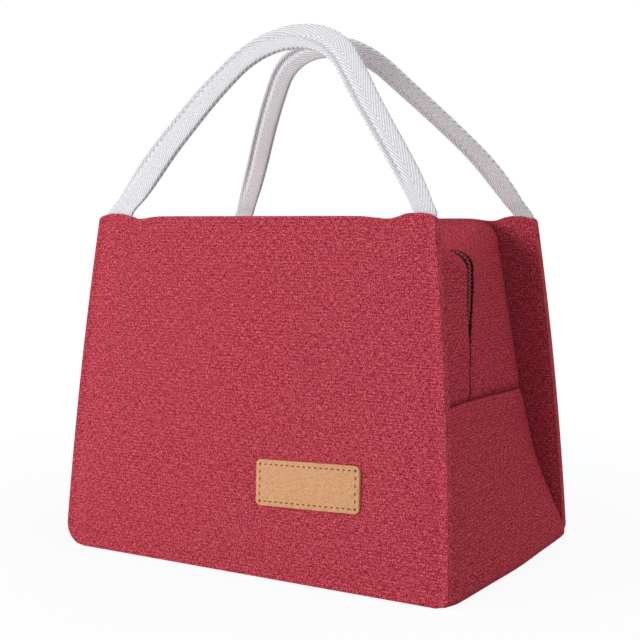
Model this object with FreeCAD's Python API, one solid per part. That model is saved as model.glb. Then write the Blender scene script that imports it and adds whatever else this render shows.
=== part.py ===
"""Soft insulated lunch bag with a zip top, pinched side gussets and two webbing handles.

Millimetres, +Z up, front towards -Y. The origin is on the floor under the middle of the bag.
Each wall is a sandwich: woven outer fabric, foam and a foil lining, with every layer its own solid.
The front and back panels are flat boards that lean in. A band runs round between them: its lower part
is one trough (both side gussets and the bottom), and its upper part is split in two by the zip.
"""

import FreeCAD, Part

import math
import os

Vector = FreeCAD.Vector

# Overall sizes of the bag
HEIGHT = 200.0
BOTTOM_WIDTH = 252.0
TOP_WIDTH = 225.0
BOTTOM_DEPTH = 181.0
TOP_DEPTH = 144.0
SIDE_BULGE = 2.2
BOTTOM_CORNER = 12.0
TOP_CORNER = 2.0

# Cloth, foam and lining
FABRIC = 0.9
PANEL_FOAM = 4.0
BAND_FOAM = 3.0
LINING = 0.5
LAYER_GAP = 0.2
FOAM_INSET = 1.5
LINING_INSET = 0.3
PANEL_LIFT = 0.5
BODY_GAP = 0.3
FLATNESS = 1e-7

# The band between the panels: how far each line of it lies inside the panels' side edges
SEAM_HEIGHT = 93.0
CREASE_DEPTH_TOP = 6.0
CREASE_DEPTH_BOTTOM = 2.5
SHOULDER_DEPTH = 1.4
SHOULDER_RUN = 2.6
RIDGE_RUN = 8.0
RIDGE_INSET_BOTTOM = -3.0
RIDGE_INSET_SEAM = 12.5
RIDGE_INSET_TOP = 24.5
RIDGE_DROP = 3.0
RIDGE_CORNER = 14.0
RIDGE_BOTTOM_CORNER = 6.6
PINCH_SEAM = 21.0
PINCH_TOP = 16.0
BOTTOM_BELLY = 5.5
CENTRE_BOTTOM_CORNER = 6.4
ZIP_DROP = 21.0
ZIP_CORNER = 13.0
CORNER_FACETS = 8

# Zip
ZIP_SLOT = 7.0
TAPE = 0.6
TAPE_WIDTH = 13.0
TAPE_PARTING = 2.4
FOAM_SETBACK = 8.0
TOOTH_PITCH = 2.4
TOOTH_WIDTH = 1.2
TOOTH_HEIGHT = 2.0
TOOTH_LENGTH = 2.6
TEETH_PARTING = 1.0

# Zip slider and its pull
SLIDER_LENGTH = 12.0
SLIDER_REAR_WIDTH = 7.4
SLIDER_WIDTH = 10.0
SLIDER_PLATE = 1.3
SLIDER_CLEARANCE = 0.3
SLIDER_STANDOFF = 2.5
POST_WIDTH = 0.6
POST_LENGTH = 4.0
PIN_RADIUS = 0.6
PIN_CLEARANCE = 0.06
LUG_THICKNESS = 1.0
LUG_RADIUS = 1.3
EYE_RADIUS = 1.5
EYE_WIDTH = 3.0
EYE_SIDE_CLEARANCE = 0.15
PULL_LENGTH = 26.0
PULL_WIDTH = 6.0
PULL_THICKNESS = 1.0
PULL_HOLE = 1.6
PULL_REST_ANGLE = 5.5

# Handles
HANDLE_SPAN = 200.0
HANDLE_RISE = 117.0
HANDLE_LEAN = 27.0
HANDLE_WIDTH = 16.0
HANDLE_THICKNESS = 4.0
HANDLE_EDGE_BEVEL = 1.2
HANDLE_APEX_RADIUS = 49.0
HANDLE_APEX_TURN = 53.0
HANDLE_FOOT_WIDTH = 21.0
HANDLE_FOOT_RUN = 24.0
HANDLE_CLEARANCE = 0.5
TAIL_LENGTH = 26.0
TAIL_THICKNESS = 2.4
TAIL_CLEARANCE = 0.3

# Leather patch on the front
PATCH_WIDTH = 65.0
PATCH_HEIGHT = 25.5
PATCH_THICKNESS = 1.8
PATCH_CORNER = 3.0
PATCH_X = 43.5
PATCH_Z = 53.5
PATCH_TILT = 2.2

# Values that follow from the sizes above
LEAN_SLOPE = (BOTTOM_DEPTH - TOP_DEPTH) / 2 / HEIGHT
LEAN = math.atan(LEAN_SLOPE)
SLANT_HEIGHT = HEIGHT / math.cos(LEAN)
PANEL_STACK = FABRIC + PANEL_FOAM + FABRIC
TAPE_DEPTH = FABRIC + LAYER_GAP
BAND_FOAM_DEPTH = TAPE_DEPTH + TAPE + LAYER_GAP
BAND_LINING_DEPTH = BAND_FOAM_DEPTH + BAND_FOAM + LAYER_GAP
BASE_FOAM_DEPTH = FABRIC + LAYER_GAP
BASE_LINING_DEPTH = BASE_FOAM_DEPTH + PANEL_FOAM + LAYER_GAP
ZIP_FOOT = SEAM_HEIGHT + BODY_GAP


def half_width(z):
    """Half the width of a panel at a height, by the straight line between its corners."""
    return (BOTTOM_WIDTH + (TOP_WIDTH - BOTTOM_WIDTH) * z / HEIGHT) / 2


def mix(a, b, share):
    return a + (b - a) * share


class Station:
    """One cross-section line of the band, in a plane that may lean with the panel.

    end_x at end_z is the free end of the leg, corner_x at corner_z is where the leg would meet the
    flat run, and radius rounds that corner. plane_y and plane_slope give y = plane_y + plane_slope * z.
    """

    def __init__(self, plane_y, plane_slope, end_x, end_z, corner_x, corner_z, radius):
        self.plane_y = plane_y
        self.plane_slope = plane_slope
        self.end_x = end_x
        self.end_z = end_z
        self.corner_x = corner_x
        self.corner_z = corner_z
        self.radius = radius

    def blend(self, other, share):
        """The station part of the way to another one."""
        return Station(
            mix(self.plane_y, other.plane_y, share),
            mix(self.plane_slope, other.plane_slope, share),
            mix(self.end_x, other.end_x, share),
            self.end_z,
            mix(self.corner_x, other.corner_x, share),
            mix(self.corner_z, other.corner_z, share),
            mix(self.radius, other.radius, share),
        )

    def at(self, plane_y, plane_slope=0.0):
        """The same outline in another plane."""
        moved = self.blend(self, 0.0)
        moved.plane_y = plane_y
        moved.plane_slope = plane_slope
        return moved

    def mirrored(self):
        """The same outline on the other side of the bag's middle."""
        return self.at(-self.plane_y, -self.plane_slope)

    def point(self, x, z):
        return Vector(x, self.plane_y + self.plane_slope * z, z)

    def half(self, depth):
        """Points of the right half at a depth under the surface: the end, then the rounded corner in flat facets."""
        upward = math.copysign(1.0, self.corner_z - self.end_z)
        slope = (self.corner_x - self.end_x) / (self.corner_z - self.end_z)
        shift = depth * math.hypot(1.0, slope)
        corner_z = self.corner_z - upward * depth
        corner_x = self.end_x + slope * (corner_z - self.end_z) - shift
        radius = self.radius - depth
        turn = math.acos(-upward * slope / math.hypot(1.0, slope))
        centre_x = corner_x - radius * math.tan(turn / 2)
        centre_z = corner_z - upward * radius
        points = [(self.end_x - shift, self.end_z)]
        for facet in range(CORNER_FACETS, -1, -1):
            angle = turn * facet / CORNER_FACETS
            points.append((centre_x + radius * math.sin(angle), centre_z + upward * radius * math.cos(angle)))
        return points

    def run(self, depth):
        """Edges of the whole line at a depth, from the right end over to the left end."""
        half = self.half(depth)
        points = [self.point(x, z) for x, z in half] + [self.point(-x, z) for x, z in reversed(half)]
        return [Part.LineSegment(a, b).toShape() for a, b in zip(points, points[1:])]

    def ring(self, outer, inner):
        """Edges of the closed outline of a layer between two depths, in the same order at every station."""
        ends = [[self.point(side * self.half(d)[0][0], self.end_z) for d in (outer, inner)] for side in (1, -1)]
        feet = [Part.LineSegment(pair[0], pair[1]).toShape() for pair in ends]
        return self.run(outer) + self.run(inner) + feet


def strip(first, second):
    """Flat faces between matching edges of two stations: one where the four corners lie in a plane, or two."""
    a, b = [vertex.Point for vertex in first.Vertexes]
    c, d = [vertex.Point for vertex in second.Vertexes]
    normal = (b - a).cross(c - a).normalize()
    if abs(normal.dot(d - a)) < FLATNESS:
        return [Part.Face(Part.makePolygon([a, b, d, c, a]))]
    folded_out = abs(a.x + d.x) > abs(b.x + c.x)
    corners = [[a, b, d], [a, d, c]] if folded_out else [[a, b, c], [b, d, c]]
    return [Part.Face(Part.makePolygon(triangle + triangle[:1])) for triangle in corners]


def layer(stations, outer, inner):
    """A layer of the band as a solid: strips of cloth from station to station, closed at both ends."""
    rings = [station.ring(outer, inner) for station in stations]
    faces = [Part.Face(Part.Wire(Part.__sortEdges__(ring))) for ring in (rings[0], rings[-1])]
    for ring, following in zip(rings, rings[1:]):
        for first, second in zip(ring, following):
            faces += strip(first, second)
    shell = Part.makeShell(faces)
    shell.sewShape()
    solid = Part.makeSolid(shell)
    if solid.Volume < 0:
        solid.reverse()
    return solid.removeSplitter()


def panel_plane(inward):
    """Plane parallel to the front panel, at a distance inside its outer face."""
    return -BOTTOM_DEPTH / 2 + inward / math.cos(LEAN), LEAN_SLOPE


def band_lines():
    """Stations of the upper band's front half by name, in order from the panel to the zip."""
    ridge_x = half_width(SEAM_HEIGHT) - RIDGE_INSET_SEAM
    ridge_top = half_width(HEIGHT) - RIDGE_INSET_TOP
    ridge_z = HEIGHT - RIDGE_DROP

    def side(depth, run):
        plane_y, slope = panel_plane(PANEL_STACK + run)
        radius = RIDGE_CORNER - depth / 2
        return Station(plane_y, slope, ridge_x - depth, ZIP_FOOT, ridge_top - depth, ridge_z - depth, radius)

    ridge = side(0.0, RIDGE_RUN)
    foot_x = half_width(SEAM_HEIGHT) - PINCH_SEAM
    top_x = half_width(HEIGHT - ZIP_DROP) - PINCH_TOP
    slot = Station(-ZIP_SLOT / 2, 0.0, foot_x, ZIP_FOOT, top_x, HEIGHT - ZIP_DROP, ZIP_CORNER)
    lines = {"crease": side(CREASE_DEPTH_TOP, 0.0), "shoulder": side(SHOULDER_DEPTH, SHOULDER_RUN)}
    lines["ridge"] = ridge
    lines["waist"] = ridge.blend(slot, 0.5)
    for name, y in (("tape", -TAPE_PARTING / 2 - TAPE_WIDTH), ("foam", -FOAM_SETBACK)):
        lines[name] = ridge.blend(slot, (y - ridge.plane_y) / (slot.plane_y - ridge.plane_y))
    lines["slot"] = slot
    lines["parting"] = slot.at(-TAPE_PARTING / 2)
    return lines


def band_layer(first, last, outer, inner):
    """A layer of the upper band between two of its named lines."""
    names = list(band_lines())
    chosen = names[names.index(first) : names.index(last) + 1]
    return layer([band_lines()[name] for name in chosen], outer, inner)


def trough_stations():
    """Stations of the lower band from the front panel to the back panel."""
    ridge_x = half_width(SEAM_HEIGHT) - RIDGE_INSET_SEAM
    ridge_bottom = half_width(0) - RIDGE_INSET_BOTTOM

    def side(rim_depth, bottom_depth, distance):
        plane_y, slope = panel_plane(distance)
        return Station(
            plane_y, slope, ridge_x - rim_depth, SEAM_HEIGHT, ridge_bottom - bottom_depth, 0.0, RIDGE_BOTTOM_CORNER
        )

    start = PANEL_STACK + BODY_GAP
    crease = side(CREASE_DEPTH_TOP, CREASE_DEPTH_BOTTOM, start)
    shoulder = side(SHOULDER_DEPTH, SHOULDER_DEPTH / 2, start + SHOULDER_RUN)
    ridge = side(0.0, 0.0, start + RIDGE_RUN)
    centre_x = half_width(SEAM_HEIGHT) - PINCH_SEAM
    centre = Station(0.0, 0.0, centre_x, SEAM_HEIGHT, half_width(0) + BOTTOM_BELLY, 0.0, CENTRE_BOTTOM_CORNER)
    front = [crease, shoulder, ridge, ridge.blend(centre, 0.5)]
    back = [station.mirrored() for station in reversed(front)]
    return front + [centre] + back


def place_front(shape):
    """Leans a shape that was drawn upright (x across, y inward, z up) back into the front panel's place."""
    placed = shape.copy()
    placed.rotate(Vector(0, 0, 0), Vector(1, 0, 0), -math.degrees(LEAN))
    placed.translate(Vector(0, -BOTTOM_DEPTH / 2, 0))
    return placed


def to_back(shape):
    """The same piece on the back of the bag."""
    turned = shape.copy()
    turned.rotate(Vector(0, 0, 0), Vector(0, 0, 1), 180)
    return turned


def rounded_corner(before, corner, after, radius):
    """Tangent points and middle of an arc that rounds a corner in the XZ plane."""
    to_before = (before - corner).normalize()
    to_after = (after - corner).normalize()
    opening = to_before.getAngle(to_after)
    reach = radius / math.tan(opening / 2)
    bisector = (to_before + to_after).normalize()
    centre = corner + bisector * (radius / math.sin(opening / 2))
    return corner + to_before * reach, centre - bisector * radius, corner + to_after * reach


def panel_face(inset):
    """Outline of a panel, drawn in from its edge, as a flat face in the XZ plane."""
    low = PANEL_LIFT + inset
    high = SLANT_HEIGHT - inset
    bottom = [Vector(side * (BOTTOM_WIDTH / 2 - inset), 0, low) for side in (1, -1)]
    top = [Vector(side * (TOP_WIDTH / 2 - inset), 0, high) for side in (1, -1)]
    middle = Vector((BOTTOM_WIDTH + TOP_WIDTH) / 4 - inset + SIDE_BULGE, 0, (low + high) / 2)
    low_right = rounded_corner(bottom[1], bottom[0], top[0], BOTTOM_CORNER)
    high_right = rounded_corner(bottom[0], top[0], top[1], TOP_CORNER)
    flip = FreeCAD.Matrix(-1, 0, 0, 0, 0, 1, 0, 0, 0, 0, 1, 0, 0, 0, 0, 1)
    low_left = [flip.multVec(p) for p in low_right]
    high_left = [flip.multVec(p) for p in high_right]
    edges = [
        Part.LineSegment(low_left[0], low_right[0]).toShape(),
        Part.Arc(*low_right).toShape(),
        Part.Arc(low_right[2], middle, high_right[0]).toShape(),
        Part.Arc(*high_right).toShape(),
        Part.LineSegment(high_right[2], high_left[2]).toShape(),
        Part.Arc(*reversed(high_left)).toShape(),
        Part.Arc(high_left[0], flip.multVec(middle), low_left[2]).toShape(),
        Part.Arc(*reversed(low_left)).toShape(),
    ]
    return Part.Face(Part.Wire(edges))


def panel_layer(inset, outer, thickness):
    """A flat layer of a panel, upright, with its outer face at a distance inside the panel's face."""
    plate = panel_face(inset).extrude(Vector(0, thickness, 0))
    plate.translate(Vector(0, outer, 0))
    return plate


def band_mouth(grow):
    """Prism of the space inside the line where the band meets the front panel, grown by a clearance."""
    upper = band_lines()["crease"]
    lower = trough_stations()[0]
    prisms = []
    for station in (upper, lower):
        half = station.half(-grow)
        end_x, end_z = half[0]
        spill_z = end_z + math.copysign(BODY_GAP, station.end_z - station.corner_z)
        right = [station.point(end_x, z) for z in (spill_z, end_z)]
        left = [station.point(-end_x, z) for z in (end_z, spill_z)]
        edges = station.run(-grow)
        edges.append(Part.LineSegment(left[0], left[1]).toShape())
        edges.append(Part.LineSegment(left[1], right[0]).toShape())
        edges.append(Part.LineSegment(right[0], right[1]).toShape())
        face = Part.Face(Part.Wire(Part.__sortEdges__(edges)))
        prism = face.extrude(Vector(0, 4 * PANEL_STACK, 0))
        prism.translate(Vector(0, -2 * PANEL_STACK, 0))
        prisms.append(prism)
    return prisms[0].fuse(prisms[1])


def tail_block(clearance):
    """The sewn-in ends of one handle, upright in the panel, grown by a clearance."""
    width = HANDLE_FOOT_WIDTH + 2 * clearance
    blocks = []
    for side in (1, -1):
        block = Part.makeBox(width, TAIL_THICKNESS, TAIL_LENGTH + clearance)
        foot = SLANT_HEIGHT - FOAM_INSET - TAIL_LENGTH - clearance
        block.translate(Vector(side * HANDLE_SPAN / 2 - width / 2, FABRIC, foot))
        blocks.append(block)
    return blocks


def panel_parts():
    """The front panel's layers in place: fabric, foam, lining, wing facing and handle tails."""
    fabric = place_front(panel_layer(0.0, 0.0, FABRIC))
    foam = panel_layer(FOAM_INSET, FABRIC, PANEL_FOAM)
    for block in tail_block(TAIL_CLEARANCE):
        foam = foam.cut(block)
    inner = FABRIC + PANEL_FOAM
    mouth = band_mouth(0.0)
    lining = place_front(panel_layer(FOAM_INSET, inner, LINING)).common(mouth)
    facing = place_front(panel_layer(0.0, inner, FABRIC)).cut(band_mouth(LINING_INSET))
    tails = Part.makeCompound([place_front(block) for block in tail_block(0.0)])
    return {
        "panel_fabric": fabric,
        "panel_foam": place_front(foam),
        "panel_lining": lining,
        "wing_facing": facing,
        "handle_tails": tails,
    }


def band_parts():
    """The front half of the upper band in place: fabric, foam, lining and zip tape."""
    foam_end = BAND_FOAM_DEPTH + BAND_FOAM
    return {
        "zip_band_fabric": band_layer("crease", "slot", 0.0, FABRIC),
        "zip_band_foam": band_layer("crease", "foam", BAND_FOAM_DEPTH, foam_end),
        "zip_band_lining": band_layer("crease", "foam", BAND_LINING_DEPTH, BAND_LINING_DEPTH + LINING),
        "zip_tape": band_layer("tape", "parting", TAPE_DEPTH, TAPE_DEPTH + TAPE),
    }


def stops_along(edges, step):
    """Places at even steps along a chain of straight edges, each with the direction of its edge."""
    stops = []
    travelled = 0.0
    for edge in edges:
        start, end = [vertex.Point for vertex in edge.Vertexes]
        along = (end - start).normalize()
        while len(stops) * step < travelled + edge.Length:
            stops.append((start + along * (len(stops) * step - travelled), along))
        travelled += edge.Length
    return stops


def zip_teeth():
    """The front row of zip teeth, set along the zip's line on the tape; the back row lies between them."""
    line = band_lines()["slot"].at(0.0).run(TAPE_DEPTH)
    length = sum(edge.Length for edge in line)
    count = 2 * int(length / TOOTH_PITCH / 2) + 1
    stops = stops_along(line, length / count / 2)
    rows = {1: [], -1: []}
    for index in range(2, 2 * count - 1):
        side = -1 if index % 2 else 1
        spot, along = stops[index]
        outward = Vector(along.z, 0, -along.x)
        back = along * -1
        tooth = Part.makeBox(TOOTH_WIDTH, TOOTH_LENGTH, TOOTH_HEIGHT)
        near = TEETH_PARTING / 2 if side < 0 else -TEETH_PARTING / 2 - TOOTH_LENGTH
        tooth.translate(Vector(-TOOTH_WIDTH / 2, near, 0))
        tooth.transformShape(
            FreeCAD.Matrix(
                back.x, 0, outward.x, spot.x, back.y, 1, outward.y, spot.y, back.z, 0, outward.z, spot.z, 0, 0, 0, 1
            )
        )
        rows[side].append(tooth)
    return Part.makeCompound(rows[1]), Part.makeCompound(rows[-1])


def trough_parts():
    """The lower band: both side gussets and the bottom as one strip of fabric, foam and lining."""
    stations = trough_stations()
    return {
        "gusset_fabric": layer(stations, 0.0, FABRIC),
        "gusset_foam": layer(stations, BASE_FOAM_DEPTH, BASE_FOAM_DEPTH + PANEL_FOAM),
        "gusset_lining": layer(stations, BASE_LINING_DEPTH, BASE_LINING_DEPTH + LINING),
    }


def handle():
    """One webbing handle, upright, with its hinge line along X through the origin."""
    turn = math.radians(HANDLE_APEX_TURN)
    join_x = HANDLE_APEX_RADIUS * math.sin(turn)
    join_z = HANDLE_RISE - HANDLE_APEX_RADIUS * (1 - math.cos(turn))
    lean_join = math.pi / 2 - turn
    lean_foot = 2 * math.atan2(HANDLE_SPAN / 2 - join_x, join_z) - lean_join
    leg_radius = join_z / (math.sin(lean_join) - math.sin(lean_foot))
    leg_centre = (join_x - leg_radius * math.cos(lean_join), join_z - leg_radius * math.sin(lean_join))

    def leg_point(lean, offset):
        reach = leg_radius + offset
        return Vector(leg_centre[0] + reach * math.cos(lean), 0, leg_centre[1] + reach * math.sin(lean))

    lean_flare = math.asin(math.sin(lean_foot) + HANDLE_FOOT_RUN / leg_radius)
    apex_centre = HANDLE_RISE - HANDLE_APEX_RADIUS
    flip = FreeCAD.Matrix(-1, 0, 0, 0, 0, 1, 0, 0, 0, 0, 1, 0, 0, 0, 0, 1)
    sides = []
    for offset, foot in ((HANDLE_WIDTH / 2, HANDLE_FOOT_WIDTH / 2), (-HANDLE_WIDTH / 2, -HANDLE_FOOT_WIDTH / 2)):
        base = Vector(HANDLE_SPAN / 2 + foot, 0, 0)
        flare = leg_point(lean_flare, offset)
        bend = leg_point((lean_flare + lean_join) / 2, offset)
        join = leg_point(lean_join, offset)
        apex = Vector(0, 0, apex_centre + HANDLE_APEX_RADIUS + offset)
        sides.append(
            [
                Part.LineSegment(base, flare).toShape(),
                Part.Arc(flare, bend, join).toShape(),
                Part.Arc(join, apex, flip.multVec(join)).toShape(),
                Part.Arc(flip.multVec(join), flip.multVec(bend), flip.multVec(flare)).toShape(),
                Part.LineSegment(flip.multVec(flare), flip.multVec(base)).toShape(),
            ]
        )
    feet = [
        Part.LineSegment(
            Vector(side * (HANDLE_SPAN + HANDLE_FOOT_WIDTH) / 2, 0, 0),
            Vector(side * (HANDLE_SPAN - HANDLE_FOOT_WIDTH) / 2, 0, 0),
        ).toShape()
        for side in (1, -1)
    ]
    outline = Part.Wire(Part.__sortEdges__(sides[0] + sides[1] + feet))
    webbing = Part.Face(outline).extrude(Vector(0, HANDLE_THICKNESS, 0))
    webbing.translate(Vector(0, -HANDLE_THICKNESS / 2, 0))
    long_edges = [edge for edge in webbing.Edges if abs(edge.BoundBox.YLength) < LAYER_GAP]
    return webbing.makeChamfer(HANDLE_EDGE_BEVEL, long_edges)


def handle_hinge():
    """Point on the front handle's hinge line: just above the panel's top edge and in front of its face."""
    out = HANDLE_THICKNESS / 2 + HANDLE_CLEARANCE
    upright = Part.Vertex(0, -out, SLANT_HEIGHT + HANDLE_CLEARANCE)
    return place_front(upright).Point


def front_handle():
    webbing = handle()
    webbing.rotate(Vector(0, 0, 0), Vector(1, 0, 0), -HANDLE_LEAN)
    webbing.translate(handle_hinge())
    return webbing


def slider_frame():
    """Matrix that stands the slider on the left leg of the zip: x outward, y across, z up the leg."""
    edge = band_lines()["slot"]
    foot, top = edge.half(TAPE_DEPTH)[:2]
    climb = Vector(-top[0] + foot[0], 0, top[1] - foot[1]).normalize()
    outward = Vector(-climb.z, 0, climb.x)
    seat = Vector(-foot[0], 0, foot[1]) + climb * (SLIDER_STANDOFF + SLIDER_LENGTH / 2)
    return FreeCAD.Matrix(
        outward.x, 0, climb.x, seat.x, 0, -1, 0, 0, outward.z, 0, climb.z, seat.z, 0, 0, 0, 1
    )


def on_zip(shape):
    """Moves a piece that was drawn in the slider's own frame onto the zip."""
    shape.transformShape(slider_frame())
    return shape


def slider_plate():
    """Shield-shaped plate of the slider, wide at its lower, open end, lying across X."""
    half = SLIDER_LENGTH / 2
    outline = [(-SLIDER_WIDTH / 2, -half), (SLIDER_WIDTH / 2, -half), (SLIDER_WIDTH / 2, -half / 4)]
    outline += [(SLIDER_REAR_WIDTH / 2, half), (-SLIDER_REAR_WIDTH / 2, half), (-SLIDER_WIDTH / 2, -half / 4)]
    wire = Part.makePolygon([Vector(0, y, z) for y, z in outline + outline[:1]])
    plate = Part.Face(wire).extrude(Vector(SLIDER_PLATE, 0, 0))
    upright = [edge for edge in plate.Edges if edge.BoundBox.XLength > SLIDER_PLATE / 2]
    return plate.makeFillet(SLIDER_PLATE, upright)


def slider_faces():
    """Heights of the slider's outer plate, inner plate and pin above the tape's outer face."""
    outer = TOOTH_HEIGHT + SLIDER_CLEARANCE
    inner = -TAPE - SLIDER_CLEARANCE - SLIDER_PLATE
    pin = outer + SLIDER_PLATE + EYE_RADIUS + SLIDER_CLEARANCE
    return outer, inner, pin


def slider():
    """Zip slider: outer and inner plates joined by the wedge, with two lugs and a pin for the pull."""
    outer, inner, pin = slider_faces()
    body = slider_plate()
    body.translate(Vector(outer, 0, 0))
    under = slider_plate()
    under.translate(Vector(inner, 0, 0))
    wedge = Part.makeBox(outer - inner + SLIDER_PLATE / 2, POST_WIDTH, POST_LENGTH)
    wedge.translate(Vector(inner + SLIDER_PLATE / 2, -POST_WIDTH / 2, -SLIDER_LENGTH / 2))
    body = body.fuse([under, wedge])
    inside = EYE_WIDTH / 2 + EYE_SIDE_CLEARANCE
    for side in (1, -1):
        start = inside if side > 0 else -inside - LUG_THICKNESS
        round_top = Part.makeCylinder(LUG_RADIUS, LUG_THICKNESS, Vector(pin, start, 0), Vector(0, 1, 0))
        stem = Part.makeBox(pin - outer - SLIDER_PLATE / 2, LUG_THICKNESS, 2 * LUG_RADIUS)
        stem.translate(Vector(outer + SLIDER_PLATE / 2, start, -LUG_RADIUS))
        body = body.fuse([round_top, stem])
    reach = inside + LUG_THICKNESS / 2
    bar = Part.makeCylinder(PIN_RADIUS, 2 * reach, Vector(pin, -reach, 0), Vector(0, 1, 0))
    return on_zip(body.fuse(bar).removeSplitter())


def pull():
    """Pull tab hanging on the slider's pin, tipped out so that it lies on the gusset below the zip."""
    pin = slider_faces()[2]
    eye = Part.makeCylinder(EYE_RADIUS, EYE_WIDTH, Vector(0, -EYE_WIDTH / 2, 0), Vector(0, 1, 0))
    neck = Part.makeBox(PULL_THICKNESS, EYE_WIDTH, 3 * EYE_RADIUS)
    neck.translate(Vector(-PULL_THICKNESS / 2, -EYE_WIDTH / 2, -3 * EYE_RADIUS))
    top = -2.5 * EYE_RADIUS
    low = -PULL_LENGTH + PULL_WIDTH / 2
    corners = [(EYE_WIDTH / 2, top), (PULL_WIDTH / 2, top - EYE_WIDTH), (PULL_WIDTH / 2, low)]
    right = [Vector(-PULL_THICKNESS / 2, y, z) for y, z in corners]
    left = [Vector(-PULL_THICKNESS / 2, -y, z) for y, z in corners]
    end = Vector(-PULL_THICKNESS / 2, 0, -PULL_LENGTH)
    edges = [
        Part.LineSegment(left[0], right[0]).toShape(),
        Part.LineSegment(right[0], right[1]).toShape(),
        Part.LineSegment(right[1], right[2]).toShape(),
        Part.Arc(right[2], end, left[2]).toShape(),
        Part.LineSegment(left[2], left[1]).toShape(),
        Part.LineSegment(left[1], left[0]).toShape(),
    ]
    tab = Part.Face(Part.Wire(edges)).extrude(Vector(PULL_THICKNESS, 0, 0))
    across = Vector(0, 1, 0)
    bore = Part.makeCylinder(PIN_RADIUS + PIN_CLEARANCE, 2 * EYE_WIDTH, Vector(0, -EYE_WIDTH, 0), across)
    hole = Part.makeCylinder(PULL_HOLE, 2 * PULL_WIDTH, Vector(-PULL_WIDTH, 0, low), Vector(1, 0, 0))
    tab = eye.fuse([neck, tab]).cut(bore).cut(hole).removeSplitter()
    tab.rotate(Vector(0, 0, 0), across, -PULL_REST_ANGLE)
    tab.translate(Vector(pin, 0, 0))
    return on_zip(tab)


def patch():
    """Bare leather patch on the front panel."""
    plate = Part.makeBox(PATCH_WIDTH, PATCH_THICKNESS, PATCH_HEIGHT)
    plate.translate(Vector(-PATCH_WIDTH / 2, -PATCH_THICKNESS, -PATCH_HEIGHT / 2))
    corners = [edge for edge in plate.Edges if edge.BoundBox.YLength > PATCH_THICKNESS / 2]
    plate = plate.makeFillet(PATCH_CORNER, corners)
    plate.rotate(Vector(0, 0, 0), Vector(0, 1, 0), -PATCH_TILT)
    plate.translate(Vector(PATCH_X, 0, PATCH_Z / math.cos(LEAN)))
    return place_front(plate)


def build():
    """Every piece of the bag by its node name."""
    nodes = dict(trough_parts())
    for name, shape in {**panel_parts(), **band_parts()}.items():
        nodes["front_" + name] = shape
        nodes["back_" + name] = to_back(shape)
    nodes["front_zip_teeth"], nodes["back_zip_teeth"] = zip_teeth()
    nodes["front_handle"] = front_handle()
    nodes["back_handle"] = to_back(nodes["front_handle"])
    nodes["zip_slider"] = slider()
    nodes["zip_pull"] = pull()
    nodes["leather_patch"] = patch()
    return nodes


def main():
    os.makedirs("parts", exist_ok=True)
    for name, shape in build().items():
        shape.exportStep(os.path.join("parts", name + ".step"))
        print(name, len(shape.Solids), "solids", round(shape.Volume / 1000, 2), "cm3", shape.isValid())
    print("front handle hinge", handle_hinge())
    print("panel hinge", place_front(Part.Vertex(0, 0, PANEL_LIFT)).Point)
    frame = slider_frame()
    print("slider pin", frame.multVec(Vector(slider_faces()[2], 0, 0)))
    print("slide axis", frame.multVec(Vector(0, 0, 1)) - frame.multVec(Vector(0, 0, 0)))


main()
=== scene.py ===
# %% [markdown]
# # A soft lunch bag, dressed for its portrait
# The bag is an insulated zip-top lunch bag: two padded boards of linen-look cloth, a pinched band of the
# same cloth round the sides, bottom and top, a zip along the middle of that band, two webbing handles and
# a bare leather patch. The CAD solids are the frame. Each soft piece is made again here as cloth, in the
# same place. The boards, their linings and the patch ride on the body that carries them.

# %% Frame
import math

import bmesh
import bpy
from mathutils import Matrix, Vector


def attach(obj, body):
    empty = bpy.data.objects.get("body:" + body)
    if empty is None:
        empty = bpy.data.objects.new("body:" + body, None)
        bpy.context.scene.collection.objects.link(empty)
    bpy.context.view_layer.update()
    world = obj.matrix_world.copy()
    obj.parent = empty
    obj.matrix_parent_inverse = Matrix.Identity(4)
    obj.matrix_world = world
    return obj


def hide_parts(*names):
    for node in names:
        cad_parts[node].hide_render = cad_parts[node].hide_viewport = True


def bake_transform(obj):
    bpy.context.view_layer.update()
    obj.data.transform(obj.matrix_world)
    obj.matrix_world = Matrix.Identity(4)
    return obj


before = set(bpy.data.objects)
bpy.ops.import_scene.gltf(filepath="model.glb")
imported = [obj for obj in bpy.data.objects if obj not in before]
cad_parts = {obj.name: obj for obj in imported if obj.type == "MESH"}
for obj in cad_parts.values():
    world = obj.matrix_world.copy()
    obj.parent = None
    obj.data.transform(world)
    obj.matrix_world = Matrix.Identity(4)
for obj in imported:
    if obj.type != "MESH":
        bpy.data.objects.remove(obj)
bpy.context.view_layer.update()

# %% [markdown]
# ## Measures
# These are the part's own sizes in millimetres. The boards lean in by a little over five degrees. Working in
# millimetres keeps the formulas readable, and one factor turns a finished point into metres. The front of
# the bag is side 1 and the back is side -1, and most pieces are made once for each side.

# %% Measures
MM = 0.001
HEIGHT = 200.0
BOTTOM_WIDTH, TOP_WIDTH = 252.0, 225.0
BOTTOM_DEPTH, TOP_DEPTH = 181.0, 144.0
SIDE_BULGE = 2.2
BOARD = 5.8
BOARD_LIFT = 0.2
SEAM_HEIGHT = 93.0
ZIP_HEIGHT = 179.0
SLOPE = (BOTTOM_DEPTH - TOP_DEPTH) / 2 / HEIGHT
LEAN = math.atan(SLOPE)
SLANT = HEIGHT / math.cos(LEAN)
SIDES = ((1, "front"), (-1, "back"))


def mix(a, b, share):
    return a + (b - a) * share


def ease(x):
    """A soft step from 0 to 1."""
    x = min(max(x, 0.0), 1.0)
    return x * x * (3 - 2 * x)


def bump(x, middle, width):
    """A soft hill, 1 high at its middle."""
    return math.exp(-(((x - middle) / width) ** 2))


def half_width(z):
    return mix(BOTTOM_WIDTH, TOP_WIDTH, z / HEIGHT) / 2


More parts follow.
